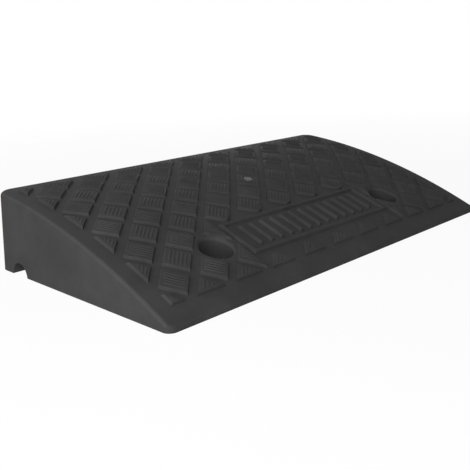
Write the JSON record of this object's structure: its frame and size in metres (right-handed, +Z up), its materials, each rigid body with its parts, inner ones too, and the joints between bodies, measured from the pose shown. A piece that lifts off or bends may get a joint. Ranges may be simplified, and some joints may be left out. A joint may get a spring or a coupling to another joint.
{
  "type": "threshold ramp",
  "caption": "Solid rubber wedge ramp with an arched square-block tread, recessed anchor bolt holes and a drain channel under its back, for rolling wheels over a step.",
  "frame": {"origin": "under the middle of the base, on the ground", "axes": "+X along the ramp's length, +Y from the low nose to the high back, +Z up"},
  "size_m": [0.5, 0.275, 0.0831],
  "materials": {
    "black_rubber": "charcoal moulded rubber, matt with a slight sheen",
    "plated_steel": "zinc-plated steel, dull"
  },
  "bodies": {
    "root": {"ramp_body": "black_rubber", "sleeve_left": "plated_steel", "sleeve_right": "plated_steel", "seat_washer_left": "plated_steel", "seat_washer_right": "plated_steel"}
  },
  "joints": []
}
